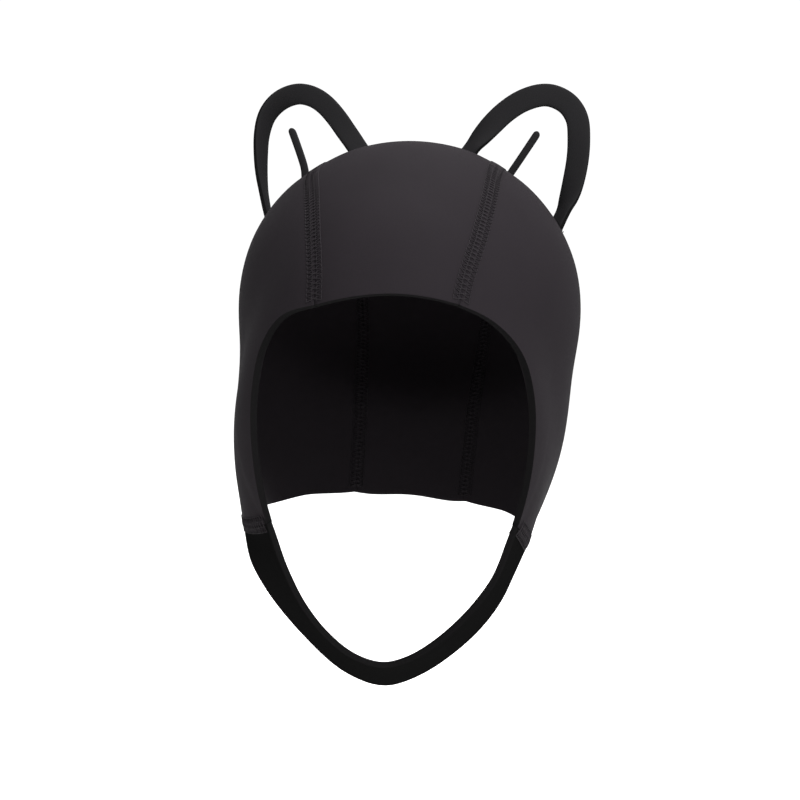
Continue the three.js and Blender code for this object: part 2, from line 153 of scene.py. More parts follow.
NEEDLE_RISE = (-0.9, 0.35, 0.9, 0.35)  # of a needle row's points over one stitch, in thread radii
POINTS_PER_STITCH = len(NEEDLE_RISE)
COVER_RISE = 0.75                  # of the two threads that cross over the rows, in thread radii
FOOT_STITCH_PITCH = 1.9 * MM

# One stitch at a foot: how far up and outwards its points lie, as lengths and in thread radii
STITCH_ON_STRIP = [
    {"up": 1.1 * MM, "out": -0.3 * MM, "radii_out": 0.0},
    {"up": 0.9 * MM, "out": 0.0, "radii_out": 0.3},
    {"up": 0.35 * MM, "out": 0.0, "radii_out": 1.0},
]
STITCH_ON_PANEL = [
    {"out": 0.5 * MM, "radii_up": 0.5},
    {"out": 0.8 * MM, "radii_up": -1.2},
]

# The studio: its floor, the camera's sensor, and where each light stands, its size and its power
FLOOR_RADIUS = 9.0
SENSOR_WIDTH = 36.0                # in the lens's own millimetres
NEAREST_SEEN = 10 * MM
LIGHTS = [
    {"name": "key_light", "azimuth": 34, "elevation": 48, "distance": 1.25, "size": 0.9, "watts": 47},
    {"name": "rim_light", "azimuth": 128, "elevation": 38, "distance": 1.2, "size": 0.6, "watts": 1.2},
    {"name": "top_light", "azimuth": 170, "elevation": 78, "distance": 1.1, "size": 0.7, "watts": 18},
]


def slot_colour(slot):
    """The base colour that the record gives a material slot."""
    for material in frame["record"]["materials"]:
        if material["slot"] == slot:
            return tuple(material["base_color"])
    raise KeyError(slot)


class CapSizes(bpy.types.PropertyGroup):
    """Sizes of the cap's sewn details."""

    edge_rounding: bpy.props.FloatProperty(
        name="Edge Rounding",
        description="How far the cut edges of the neoprene are rounded",
        default=0.55 * MM,
        min=0.1 * MM,
        max=1.2 * MM,
        precision=5,
        unit="LENGTH",
    )
    smoothness: bpy.props.IntProperty(
        name="Smoothness",
        description="Subdivision levels of the neoprene pieces",
        default=2,
        min=1,
        max=3,
    )
    waviness: bpy.props.FloatProperty(
        name="Waviness",
        description="Height of the broad, shallow waves of the stretched neoprene",
        default=0.35 * MM,
        min=0.0,
        max=1.0 * MM,
        precision=5,
        unit="LENGTH",
    )
    pucker: bpy.props.FloatProperty(
        name="Pucker",
        description="How far the stitching draws the neoprene in beside a seam",
        default=0.22 * MM,
        min=0.0,
        max=0.6 * MM,
        precision=5,
        unit="LENGTH",
    )
    stitch_pitch: bpy.props.FloatProperty(
        name="Stitch Pitch",
        description="Length of one stitch of the flat seams",
        default=2.1 * MM,
        min=1.0 * MM,
        max=4.0 * MM,
        precision=5,
        unit="LENGTH",
    )
    needle_spacing: bpy.props.FloatProperty(
        name="Needle Spacing",
        description="Distance between two needle rows of a flat seam",
        default=2.3 * MM,
        min=1.0 * MM,
        max=3.0 * MM,
        precision=5,
        unit="LENGTH",
    )
    thread_width: bpy.props.FloatProperty(
        name="Thread Width",
        description="Thickness of the sewing thread",
        default=0.42 * MM,
        min=0.2 * MM,
        max=0.8 * MM,
        precision=5,
        unit="LENGTH",
    )
    wale_pitch: bpy.props.FloatProperty(
        name="Wale Pitch",
        description="Width of one column of the knitted face",
        default=0.7 * MM,
        min=0.4 * MM,
        max=1.5 * MM,
        precision=5,
        unit="LENGTH",
    )
    course_pitch: bpy.props.FloatProperty(
        name="Course Pitch",
        description="Height of one row of the knitted face",
        default=0.5 * MM,
        min=0.3 * MM,
        max=1.2 * MM,
        precision=5,
        unit="LENGTH",
    )


class CapColours(bpy.types.PropertyGroup):
    """Colours of the cap's finishes."""

    panel: bpy.props.FloatVectorProperty(
        name="Panels",
        description="Knitted face of the crown and the side panels",
        default=slot_colour("neoprene_panel"),
        min=0.0,
        max=1.0,
        subtype="COLOR",
    )
    # The strap's colour is darker than the panels' to paint in the shade that the chin casts on it
    strap: bpy.props.FloatVectorProperty(
        name="Strap",
        description="Knitted face of the chin strap",
        default=slot_colour("neoprene_strap"),
        min=0.0,
        max=1.0,
        subtype="COLOR",
    )
    ear: bpy.props.FloatVectorProperty(
        name="Ears",
        description="Knitted face of the ears",
        default=slot_colour("neoprene_ear"),
        min=0.0,
        max=1.0,
        subtype="COLOR",
    )
    foam: bpy.props.FloatVectorProperty(
        name="Foam",
        description="Foam rubber where the neoprene is cut",
        default=(0.0027, 0.0026, 0.0027),
        min=0.0,
        max=1.0,
        subtype="COLOR",
    )
    thread: bpy.props.FloatVectorProperty(
        name="Thread",
        description="Sewing thread",
        default=(0.0090, 0.0079, 0.0089),
        min=0.0,
        max=1.0,
        subtype="COLOR",
    )


class StageSettings(bpy.types.PropertyGroup):
    """The studio round the cap and the camera in front of it."""

    floor_colour: bpy.props.FloatVectorProperty(
        name="Floor",
        description="Colour of the studio floor",
        default=(0.97, 0.97, 0.97),
        min=0.0,
        max=1.0,
        subtype="COLOR",
    )
    floor_drop: bpy.props.FloatProperty(
        name="Floor Drop",
        description="Height of the cap's origin above the floor, as held up by a head",
        default=0.36,
        min=0.24,
        max=1.0,
        unit="LENGTH",
    )
    surround: bpy.props.FloatProperty(
        name="Surround",
        description="Brightness of the pale surround",
        default=1.05,
        min=0.0,
        max=3.0,
    )
    camera_azimuth: bpy.props.FloatProperty(
        name="Camera Azimuth",
        description="How far the camera stands round to the viewer's right",
        default=math.radians(6.0),
        subtype="ANGLE",
    )
    camera_elevation: bpy.props.FloatProperty(
        name="Camera Elevation",
        description="How far the camera stands above its aim",
        default=math.radians(4.0),
        subtype="ANGLE",
    )
    camera_roll: bpy.props.FloatProperty(
        name="Camera Roll",
        description="How far the camera is rolled about its line of sight",
        default=math.radians(4.0),
        subtype="ANGLE",
    )
    camera_distance: bpy.props.FloatProperty(
        name="Camera Distance",
        description="Distance from the camera to its aim",
        default=0.582,
        min=0.2,
        max=5.0,
        unit="LENGTH",
    )
    camera_aim: bpy.props.FloatVectorProperty(
        name="Camera Aim",
        description="The point that the camera looks at",
        default=(-0.002, 0.0, -0.114),
        subtype="TRANSLATION",
    )
    lens: bpy.props.FloatProperty(
        name="Lens",
        description="Focal length on a sensor 36 mm wide",
        default=57.06,
        min=10.0,
        max=200.0,
        unit="CAMERA",
    )


class Signal:
    """An output of a node that can be used in sums; a sum adds its Math nodes."""

    def __init__(self, finish, socket):
        self.finish = finish
        self.socket = socket

    def output(self, name):
        """Another output of the same node."""
        return Signal(self.finish, self.socket.node.outputs[name])

    def sum(self, operation, first, second):
        """The output of a new Math node."""
        return self.finish.node("ShaderNodeMath", {"operation": operation}, {0: first, 1: second})

    def __add__(self, other):
        return self.sum("ADD", self, other)

    def __radd__(self, other):
        return self.sum("ADD", other, self)

    def __sub__(self, other):
        return self.sum("SUBTRACT", self, other)

    def __rsub__(self, other):
        return self.sum("SUBTRACT", other, self)

    def __mul__(self, other):
        return self.sum("MULTIPLY", self, other)

    def __rmul__(self, other):
        return self.sum("MULTIPLY", other, self)


class Finish:
    """A node material in the making."""

    def __init__(self, name):
        self.material = bpy.data.materials.new(name)
        self.material.use_nodes = True
        self.tree = self.material.node_tree
        self.tree.nodes.clear()

    def node(self, kind, settings=None, inputs=None):
        """Adds a node: its settings first, then the values or links of its sockets."""
        made = self.tree.nodes.new(kind)
        for name, value in (settings or {}).items():
            setattr(made, name, value)
        for key, value in (inputs or {}).items():
            if isinstance(value, Signal):
                self.tree.links.new(value.socket, made.inputs[key])
            else:
                made.inputs[key].default_value = value
        first = next((socket for socket in made.outputs if socket.enabled), None)
        return Signal(self, first)

    def noise(self, coordinates, scale, detail):
        """Cloudy noise, from 0 to 1."""
        return self.node(
            "ShaderNodeTexNoise",
            {"noise_dimensions": "3D"},
            {"Vector": coordinates, "Scale": scale, "Detail": detail, "Roughness": NOISE_ROUGHNESS},
        )

    def tinted(self, colour, tone):
        """A colour made lighter or darker by a number that may vary over the surface."""
        return self.node("ShaderNodeVectorMath", {"operation": "SCALE"}, {0: colour, "Scale": tone})

    def close(self, surface):
        """Ends the material with its surface shader."""
        self.node("ShaderNodeOutputMaterial", inputs={"Surface": surface})
        return self.material


def knitted_face(name, colour, sizes, sheen, gloss):
    """Nylon jersey on neoprene: columns of small V-shaped loops with a soft sheen."""
    finish = Finish(name)
    place = finish.node("ShaderNodeTexCoord").output("Object")
    chart = finish.node("ShaderNodeUVMap", {"uv_map": KNIT_MAP})
    axes = finish.node("ShaderNodeSeparateXYZ", inputs={0: chart})
    wale = axes.output("X") * (1.0 / sizes.wale_pitch)
    course = axes.output("Y") * (1.0 / sizes.course_pitch)
    fold = finish.node("ShaderNodeMath", {"operation": "PINGPONG"}, {0: wale, 1: 0.5}) * 2.0
    turn = (course + fold * 0.5) * (2.0 * math.pi)
    loops = finish.node("ShaderNodeMath", {"operation": "SINE"}, {0: turn}) * 0.5 + 0.5
    # knit is the loops' relief; where it feeds the tone it is painted shade, lighter on the loops and
    # darker between them
    knit = loops * (1.0 - fold * fold * 0.7)
    cloud = finish.noise(place, **CLOUD)
    mottle = finish.noise(place, **YARN_MOTTLE)
    # Painted shade: the tone is darkened in the groove beside each seam
    seam_shade = finish.node("ShaderNodeAttribute", {"attribute_name": SEAM_SHADE_ATTRIBUTE}).output("Fac")
    tone = JERSEY_TONE["ground"] + cloud * JERSEY_TONE["cloud"] + mottle * JERSEY_TONE["mottle"]
    tone = tone + knit * JERSEY_TONE["knit"] - seam_shade * JERSEY_TONE["seam_shade"]
    height = knit * JERSEY_RELIEF["knit"] + mottle * JERSEY_RELIEF["mottle"]
    bump = finish.node(
        "ShaderNodeBump",
        inputs={"Strength": 0.55, "Distance": 0.05 * MM, "Height": height},
    )
    surface = finish.node(
        "ShaderNodeBsdfPrincipled",
        inputs={
            "Base Color": finish.tinted(colour, tone),
            "Roughness": 0.66 + mottle * 0.16,
            "Specular IOR Level": gloss,
            "Sheen Weight": sheen,
            "Sheen Roughness": 0.42,
            "Sheen Tint": (0.96, 0.93, 1.0, 1.0),
            "Normal": bump,
        },
    )
    return finish.close(surface)


def cut_foam(name, colour):
    """The cut edge of the neoprene: closed-cell foam rubber between the two knitted faces."""
    finish = Finish(name)
    place = finish.node("ShaderNodeTexCoord").output("Object")
    cells = finish.node(
        "ShaderNodeTexVoronoi",
        {"feature": "F1"},
        {"Vector": place, "Scale": FOAM_CELLS},
    )
    mottle = finish.noise(place, **FOAM_MOTTLE)
    tone = 0.7 + cells * 0.45 + mottle * 0.2
    bump = finish.node(
        "ShaderNodeBump",
        inputs={"Strength": 0.6, "Distance": 0.08 * MM, "Height": cells},
    )
    surface = finish.node(
        "ShaderNodeBsdfPrincipled",
        inputs={
            "Base Color": finish.tinted(colour, tone),
            "Roughness": 0.86 + mottle * 0.1,
            "Specular IOR Level": 0.01,
            "Normal": bump,
        },
    )
    return finish.close(surface)


def sewing_thread(name, colour):
    """Textured nylon thread, smoother than the knitted face."""
    finish = Finish(name)
    place = finish.node("ShaderNodeTexCoord").output("Object")
    fibre = finish.noise(place, **FIBRE)
    bump = finish.node(
        "ShaderNodeBump",
        inputs={"Strength": 0.5, "Distance": 0.06 * MM, "Height": fibre},
    )
    surface = finish.node(
        "ShaderNodeBsdfPrincipled",
        inputs={
            "Base Color": finish.tinted(colour, 0.7 + fibre * 0.6),
            "Roughness": 0.5 + fibre * 0.2,
            "Specular IOR Level": 0.02,
            "Normal": bump,
        },
    )
    return finish.close(surface)


FINISHES = {}


def finish_named(name):
    """One material of the cap, made the first time that it is asked for."""
    scene = bpy.context.scene
    sizes = scene.cap_sizes
    colours = scene.cap_colours
    makers = {
        "panel_jersey": lambda: knitted_face(name, tuple(colours.panel), sizes, **JERSEY_SHINE),
        # the strap's darker colour is painted shade from under the chin, not a darker fabric
        "shaded_strap_jersey": lambda: knitted_face(name, tuple(colours.strap), sizes, **STRAP_SHINE),
        "ear_jersey": lambda: knitted_face(name, tuple(colours.ear), sizes, **JERSEY_SHINE),
        "cut_foam": lambda: cut_foam(name, tuple(colours.foam)),
        "black_thread": lambda: sewing_thread(name, tuple(colours.thread)),
    }
    if name not in FINISHES:
        FINISHES[name] = makers[name]()
    return FINISHES[name]


def select_only(piece):
    """Makes one object the only selected and the active one."""
    bpy.ops.object.select_all(action="DESELECT")
    piece.select_set(True)
    bpy.context.view_layer.objects.active = piece


def piece_of(node_name):
    """The finished piece that stands for a CAD node."""
    return bpy.data.objects[node_name + PIECE_ENDING]


def copy_of_node(node_name):
    """A new piece from a CAD node's mesh, merged, with its triangles joined into quads."""
    piece = bpy.data.objects.new(node_name + PIECE_ENDING, frame["nodes"][node_name].data.copy())
    bpy.context.scene.collection.objects.link(piece)
    piece.data.materials.clear()
    select_only(piece)
    bpy.ops.object.mode_set(mode="EDIT")
    bpy.ops.mesh.select_all(action="SELECT")
    bpy.ops.mesh.remove_doubles(threshold=MERGE_DISTANCE)
    bpy.ops.mesh.tris_convert_to_quads(face_threshold=QUAD_BEND, shape_threshold=QUAD_SKEW)
    bpy.ops.object.mode_set(mode="OBJECT")
    return piece


def is_crosswise(edge, centre):
    """True for an edge that crosses the sheet's thickness."""
    along = edge.verts[1].co - edge.verts[0].co
    if not CROSS_LENGTH[0] < along.length < CROSS_LENGTH[1]:
        return False
    middle = (edge.verts[0].co + edge.verts[1].co) / 2
    return abs(along.normalized().dot((middle - centre).normalized())) > CROSS_AIM


def close_sewn_edges(mesh, rim, tree):
    """Draws the edges that are sewn together up to each other, and keeps them sharp."""
    sewn = [face for face in rim if all(tree.find(v.co)[2] < SEWN_REACH for v in face.verts)]
    crease = mesh.edges.layers.float.new("crease_edge")
    pull = {}
    for face in sewn:
        for edge in face.edges:
            edge[crease] = 1.0
        for vertex in face.verts:
            pull[vertex] = pull.get(vertex, Vector()) + face.normal
    for vertex, way in pull.items():
        vertex.co += way.normalized() * SEWN_CLOSING
    return {edge for face in sewn for edge in face.edges}


def round_the_rim(piece, centre, rounding, tree):
    """Gives the cut edge its own finish and rounds its corners, other than where it is sewn."""
    select_only(piece)
    bpy.ops.object.mode_set(mode="EDIT")
    bpy.ops.mesh.select_mode(type="EDGE")
    bpy.ops.mesh.select_all(action="DESELECT")
    mesh = bmesh.from_edit_mesh(piece.data)
    rim = {face for face in mesh.faces if any(is_crosswise(edge, centre) for edge in face.edges)}
    for face in mesh.faces:
        face.material_index = 1 if face in rim else 0
    sewn = close_sewn_edges(mesh, rim, tree)
    for edge in mesh.edges:
        on_rim = [face in rim for face in edge.link_faces]
        corner = all(on_rim) and edge.calc_face_angle(0.0) > RIM_CORNER
        edge.select_set((len(set(on_rim)) == 2 or corner) and edge not in sewn)
    mesh.select_flush_mode()
    bmesh.update_edit_mesh(piece.data)
    bpy.ops.mesh.bevel(offset=rounding, segments=2, affect="EDGES", clamp_overlap=True)
    bpy.ops.object.mode_set(mode="OBJECT")


def smooth_out(piece, levels):
    """Subdivides a piece into a smooth surface and applies it."""
    select_only(piece)
    smoothing = piece.modifiers.new("smoothing", "SUBSURF")
    smoothing.levels = levels
    smoothing.render_levels = levels
    bpy.ops.object.modifier_apply(modifier=smoothing.name)
    bpy.ops.object.shade_smooth()


def lay_out_knit(piece, chart):
    """Writes the flat place of each corner, in metres, so that the knit follows the surface."""
    layer = piece.data.uv_layers.new(name=KNIT_MAP)
    flat = [chart(vertex.co) for vertex in piece.data.vertices]
    for loop in piece.data.loops:
        layer.data[loop.index].uv = flat[loop.vertex_index]
    for other in [name for name in piece.data.uv_layers.keys() if name != KNIT_MAP]:
        piece.data.uv_layers.remove(piece.data.uv_layers[other])


def clock_of(offset):
    """Clock angle of an offset from the form's centre, from a quarter turn below straight ahead."""
    turn = math.atan2(offset.z, -offset.y)
    return turn + 2 * math.pi if turn < -math.pi / 2 else turn


def crown_chart(point):
    """The flat place of a point of the crown panel: across it and along it."""
    return (point.x, CROWN_RADIUS * clock_of(point - FORM_CENTRE))


def side_chart(point):
    """The flat place of a point of a side panel, laid out round the middle of its ear."""
    way = (point - FORM_CENTRE).normalized()
    spread = SIDE_RADIUS * math.acos(min(1.0, abs(way.x)))
    clock = math.atan2(way.z, -way.y)
    return (spread * math.cos(clock), spread * math.sin(clock))


def strap_chart(point):
    """The flat place of a point of the chin strap: across it and along it."""
    offset = point - STRAP_CENTRE
    return (point.y, STRAP_RADIUS * math.atan2(offset.x, -offset.z))


def ear_chart(side):
    """The chart of one ear: across the strip and along it, round the ear's centre."""
    middle_x, middle_z = EAR_CENTRES[side]

    def chart(point):
        x = point.x - middle_x
        z = point.z - middle_z
        return (math.hypot(x, z) + point.y, EAR_RADIUS * math.atan2(x, z))

    return chart


def direction(clock, spread, sign):
    """A unit direction from the form's centre by its clock and spread angles, in degrees."""
    out = math.sin(math.radians(spread))
    return Vector((
        sign * math.cos(math.radians(spread)),
        -out * math.cos(math.radians(clock)),
        out * math.sin(math.radians(clock)),
    ))


def seam_at(clock, side):
    """Where a crown seam lies at a clock angle: a smooth curve through its table, in metres."""
    last = len(CROWN_SEAMS) - 1
    index = max(i for i, row in enumerate(CROWN_SEAMS[:-1]) if row["clock"] <= clock)
    row, following = CROWN_SEAMS[index], CROWN_SEAMS[index + 1]
    span = following["clock"] - row["clock"]
    t = (clock - row["clock"]) / span

    def steepness(i):
        before, after = CROWN_SEAMS[max(i - 1, 0)], CROWN_SEAMS[min(i + 1, last)]
        return (after[side] - before[side]) / (after["clock"] - before["clock"])

    rise = (following[side] - row[side]) * t * t * (3 - 2 * t)
    leave = steepness(index) * t * (1 - t) ** 2 * span
    arrive = steepness(index + 1) * t * t * (t - 1) * span
    return (row[side] + rise + leave + arrive) * MM


def crown_seam_rays(side):
    """Pairs of rays, one on either side of a crown seam, from the forehead to the nape."""
    start, end = SEAM_ENDS[side]
    clock = start + SEAM_END_MARGIN
    rays = []
    while clock < end - SEAM_END_MARGIN:
        way = direction(clock, MIDDLE_SPREAD, 1)
        x = seam_at(clock, side)
        rays.append([
            (FORM_CENTRE + Vector((x + step, 0.0, 0.0)), way)
            for step in (-SEAM_SIDE_STEP, SEAM_SIDE_STEP)
        ])
        clock += SEAM_SAMPLE_ANGLE
    return rays


def strap_joint_rays(side):
    """Pairs of rays, one on either side of the joint of the strap, from its front to its rear."""
    joint = STRAP_JOINTS[side]

    def flat(clock, spread):
        return Vector((math.cos(math.radians(clock)), math.sin(math.radians(clock)))) * spread

    front = flat(*joint["front"])
    rear = flat(*joint["rear"])
    run = rear - front
    aside = Vector((-run.y, run.x)).normalized() * JOINT_SIDE_STEP
    rays = []
    for i in range(JOINT_END_SAMPLES, JOINT_SAMPLES - JOINT_END_SAMPLES + 1):
        place = front + run * (i / JOINT_SAMPLES)
        pair = []
        for offset in (-aside, aside):
            at = place + offset
            clock = math.degrees(math.atan2(at.y, at.x))
            pair.append((FORM_CENTRE, direction(clock, at.length, SIDE_SIGN[side])))
        rays.append(pair)
    return rays


# The two kinds of flat seam, and the node that each one's threads go with
FLAT_SEAMS = [
    {"label": "crown", "rays": crown_seam_rays, "node": "crown_panel", "slot": "neoprene_panel"},
    {"label": "strap", "rays": strap_joint_rays, "node": "chin_strap", "slot": "neoprene_strap"},
]


def skin_of(pieces):
    """A search tree of the pieces' faces."""
    points = []
    faces = []
    for piece in pieces:
        start = len(points)
        points.extend(vertex.co.copy() for vertex in piece.data.vertices)
        faces.extend([start + i for i in polygon.vertices] for polygon in piece.data.polygons)
    return BVHTree.FromPolygons(points, faces)


def felt_line(skin, pairs):
    """Points of a seam on the sheets' inner faces, each between its two rays' places."""
    line = []
    for pair in pairs:
        hits = [hit for hit in (skin.ray_cast(*ray) for ray in pair) if hit[0] is not None]
        if len(hits) == len(pair):
            point = sum((hit[0] for hit in hits), Vector()) / len(hits)
            normal = sum((hit[1] for hit in hits), Vector()).normalized()
            line.append((point, normal))
    return line


def outer_line(line):
    """The same seam on the sheets' outer faces, straight through their thickness."""
    return [(point - normal * SHEET, -normal) for point, normal in line]


def evenly_spaced(line, step):
    """The line's points and normals again, at even distances along it."""
    spaced = [line[0]]
    left = step
    for (a, na), (b, nb) in zip(line, line[1:]):
        length = (b - a).length
        done = 0.0
        while length - done >= left:
            done += left
            t = done / length
            spaced.append((a.lerp(b, t), na.lerp(nb, t).normalized()))
            left = step
        left -= length - done
    return spaced


def across_line(line):
    """For each place of a line, the direction across it in the surface."""
    result = []
    for i, (_, normal) in enumerate(line):
        ahead = line[min(i + 1, len(line) - 1)][0] - line[max(i - 1, 0)][0]
        result.append(normal.cross(ahead).normalized())
    return result


def on_skin(skin, point, height):
    """The nearest place of the surface, raised by a height."""
    location, normal, _, _ = skin.find_nearest(point)
    return location + normal * height


def above_skin(skin, point, up, height):
    """The place of the surface straight above or below a point, raised by a height."""
    location = skin.ray_cast(point + up * SKIN_REACH, -up, 2 * SKIN_REACH)[0]
    return (point if location is None else location) + up * height


def flat_seam_threads(skin, line, sizes):
    """The threads of a flat seam: a row of stitches for each needle, and two that cross over them."""
    step = sizes.stitch_pitch / POINTS_PER_STITCH
    radius = sizes.thread_width / 2
    places = evenly_spaced(line, step)
    across = across_line(places)
    threads = []
    for needle in NEEDLES:
        row = []
        for i, (point, up) in enumerate(places):
            aside = across[i] * (needle * sizes.needle_spacing)
            rise = NEEDLE_RISE[i % POINTS_PER_STITCH] * radius
            row.append(above_skin(skin, point + aside, up, rise))
        threads.append(row)
    reach = NEEDLES[-1] * sizes.needle_spacing
    swing = 2 * POINTS_PER_STITCH
    for sign in (-1, 1):
        row = []
        for i, (point, up) in enumerate(places):
            share = 1 - 4 * abs((i % swing) / swing - 0.5)
            aside = across[i] * (sign * share * reach)
            row.append(above_skin(skin, point + aside, up, COVER_RISE * radius))
        threads.append(row)
    return threads


def thread_piece(name, threads, width):
    """One piece from many threads, each a thin tube through its points."""
    curve = bpy.data.curves.new(name, "CURVE")
    curve.dimensions = "3D"
    curve.bevel_depth = width / 2
    curve.bevel_resolution = 1
    curve.use_fill_caps = True
    for thread in threads:
        spline = curve.splines.new("POLY")
        spline.points.add(len(thread) - 1)
        for target, point in zip(spline.points, thread):
            target.co = (*point, 1.0)
    piece = bpy.data.objects.new(name, curve)
    bpy.context.scene.collection.objects.link(piece)
    select_only(piece)
    bpy.ops.object.convert(target="MESH")
    piece = bpy.context.view_layer.objects.active
    piece.data.name = name
    bpy.ops.object.shade_smooth()
    piece.data.materials.append(finish_named("black_thread"))
    return piece


def broad_waves(point):
    """Shallow waves of neoprene that is stretched over a head, from -1 to 1."""
    return sum(
        noise.noise(point * layer["frequency"] + layer["shift"]) * layer["share"] for layer in WAVES
    )


def seam_guide():
    """The flat seams as points in a search tree, with each one's distance along its seam."""
    skin = skin_of([frame["nodes"][name] for name in SHEETS])
    points = []
    for side in SIDE_SIGN:
        for seam in FLAT_SEAMS:
            travelled = 0.0
            before = None
            for point, _ in outer_line(felt_line(skin, seam["rays"](side))):
                travelled += (point - before).length if before else 0.0
                before = point
                points.append((point, travelled))
    tree = KDTree(len(points))
    for index, (point, _) in enumerate(points):
        tree.insert(point, index)
    tree.balance()
    return tree, [travelled for _, travelled in points]


def draw_in_at_seams(piece, guide, sizes):
    """Moves the sheet by its waves and by the pull of the stitching, and stores the painted shade beside
    the seams.
    """
    tree, travelled = guide
    seam_shade = piece.data.attributes.new(SEAM_SHADE_ATTRIBUTE, "FLOAT", "POINT")
    for vertex in piece.data.vertices:
        _, index, distance = tree.find(vertex.co)
        away = (vertex.co - FORM_CENTRE).normalized()
        near = math.exp(-((distance / PRESS_WIDTH) ** 2))
        beat = math.sin(travelled[index] / PUCKER_LENGTH * 2 * math.pi)
        pull = sizes.pucker * near * (PUCKER_EVENNESS + (1 - PUCKER_EVENNESS) * beat)
        shift = sizes.waviness * broad_waves(vertex.co) - pull
        # the same nearness darkens the knitted face there, as painted shade of the seam's groove
        seam_shade.data[vertex.index].value = near
        vertex.co += away * shift


def take_place_of(node_name, piece, slot):
    """Puts a piece in place of its CAD node, on the cap's one body."""
    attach(piece, BODY)
    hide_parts(node_name)


def sheet_piece(node_name, guide, jersey, slot, centre, chart):
    """Makes one sheet of neoprene: rounded rim, smooth faces, knit and cut foam."""
    sizes = bpy.context.scene.cap_sizes
    piece = copy_of_node(node_name)
    round_the_rim(piece, centre, sizes.edge_rounding, guide[0])
    smooth_out(piece, sizes.smoothness)
    draw_in_at_seams(piece, guide, sizes)
    lay_out_knit(piece, chart)
    piece.data.materials.append(finish_named(jersey))
    piece.data.materials.append(finish_named("cut_foam"))
    take_place_of(node_name, piece, slot)


def seat_feet(piece, plain_skin, crown_skin):
    """Lets the ends that stand on the crown into its surface, and keeps them flat."""
    on_foot = set()
    for vertex in piece.data.vertices:
        if plain_skin.find_nearest(vertex.co)[3] < FOOT_REACH:
            vertex.co = on_skin(crown_skin, vertex.co, -FOOT_DEPTH)
            on_foot.add(vertex.index)
    if not on_foot:
        raise RuntimeError(f"{piece.name} doesn't stand on the crown")
    crease = piece.data.attributes.new("crease_edge", "FLOAT", "EDGE")
    for edge in piece.data.edges:
        crease.data[edge.index].value = 1.0 if on_foot.issuperset(edge.vertices) else 0.0


def mark_cut_edges(piece):
    """Gives the narrow sides of a strip the foam's finish, down to where it stands."""
    points = piece.data.vertices
    marked = set()
    longer = []
    for polygon in piece.data.polygons:
        sides = [(points[a].co - points[b].co).length for a, b in polygon.edge_keys]
        if not STRIP_EDGE[0] < min(sides) < STRIP_EDGE[1]:
            continue
        if max(sides) < STRIP_FACE:
            polygon.material_index = 1
            marked.update(polygon.edge_keys)
        else:
            longer.append(polygon)
    for polygon in longer:
        polygon.material_index = 0 if marked.isdisjoint(polygon.edge_keys) else 1


def strip_piece(node_name, slot, chart, plain_skin, crown_skin):
    """Makes one narrow strip: the CAD node smoothed, its narrow sides cut foam."""
    piece = copy_of_node(node_name)
    seat_feet(piece, plain_skin, crown_skin)
    mark_cut_edges(piece)
    smooth_out(piece, bpy.context.scene.cap_sizes.smoothness)
    lay_out_knit(piece, chart)
    piece.data.materials.append(finish_named("ear_jersey"))
    piece.data.materials.append(finish_named("cut_foam"))
    take_place_of(node_name, piece, slot)


def feet_of(piece, crown_skin):
    """The points of each foot of a piece that lie in the crown's surface."""
    feet = []
    for vertex in piece.data.vertices:
        if crown_skin.find_nearest(vertex.co)[3] > FOOT_CONTACT:
            continue
        point = vertex.co.copy()
        foot = next((foot for foot in feet if (point - foot[0]).length < FOOT_SPAN), None)
        if foot:
            foot.append(point)
        else:
            feet.append([point])
    return feet


def foot_stitches(piece, crown_skin, sizes):
    """Short stitches round each foot that stands on the crown, from the strip down to the panel."""
    radius = sizes.thread_width / 2
    threads = []
    for foot in feet_of(piece, crown_skin):
        middle = sum(foot, Vector()) / len(foot)
        up = crown_skin.find_nearest(middle)[1]
        side = up.orthogonal().normalized()
        other = up.cross(side)
        around = sorted(foot, key=lambda p: math.atan2((p - middle).dot(other), (p - middle).dot(side)))
        loop = [(p, up) for p in around + around[:1]]
        for point, _ in evenly_spaced(loop, FOOT_STITCH_PITCH)[:-1]:
            outward = point - middle
            outward = (outward - up * outward.dot(up)).normalized()
            on_strip = [
                point + up * row["up"] + outward * (row["out"] + row["radii_out"] * radius)
                for row in STITCH_ON_STRIP
            ]
            on_panel = [
                on_skin(crown_skin, point + outward * row["out"], row["radii_up"] * radius)
                for row in STITCH_ON_PANEL
            ]
            threads.append(on_strip + on_panel)
    return threads


# Each sheet's finish and slot, the centre that its thickness points to, and its chart
SIDE_LOOKS = {
    "jersey": "panel_jersey", "slot": "neoprene_panel", "centre": FORM_CENTRE, "chart": side_chart,
}
SHEET_LOOKS = {
    "crown_panel": {**SIDE_LOOKS, "chart": crown_chart},
    "left_side_panel": SIDE_LOOKS,
    "right_side_panel": SIDE_LOOKS,
    # the strap's finish has a darker colour that paints in the shade under the chin
    "chin_strap": {
        "jersey": "shaded_strap_jersey", "slot": "neoprene_strap", "centre": STRAP_CENTRE, "chart": strap_chart,
    },
}


class CAP_OT_panels(bpy.types.Operator):
    """Makes the crown panel, the two side panels and the chin strap"""

    bl_idname = "cap.panels"
    bl_label = "Panels and Strap"

    def execute(self, context):
        guide = seam_guide()
        for node_name, looks in SHEET_LOOKS.items():
            sheet_piece(node_name, guide, **looks)
        return {"FINISHED"}


class CAP_OT_ears(bpy.types.Operator):
    """Makes the two ear loops and the tongue inside each"""

    bl_idname = "cap.ears"
    bl_label = "Ears"

    def execute(self, context):
        plain_skin = skin_of([frame["nodes"][name] for name in CROWN_SHEETS])
        skin = skin_of([piece_of(name) for name in CROWN_SHEETS])
        for side in SIDE_SIGN:
            chart = ear_chart(side)
            for name in (side + "_ear_loop", side + "_ear_tongue"):
                strip_piece(name, "neoprene_ear", chart, plain_skin, skin)
        return {"FINISHED"}


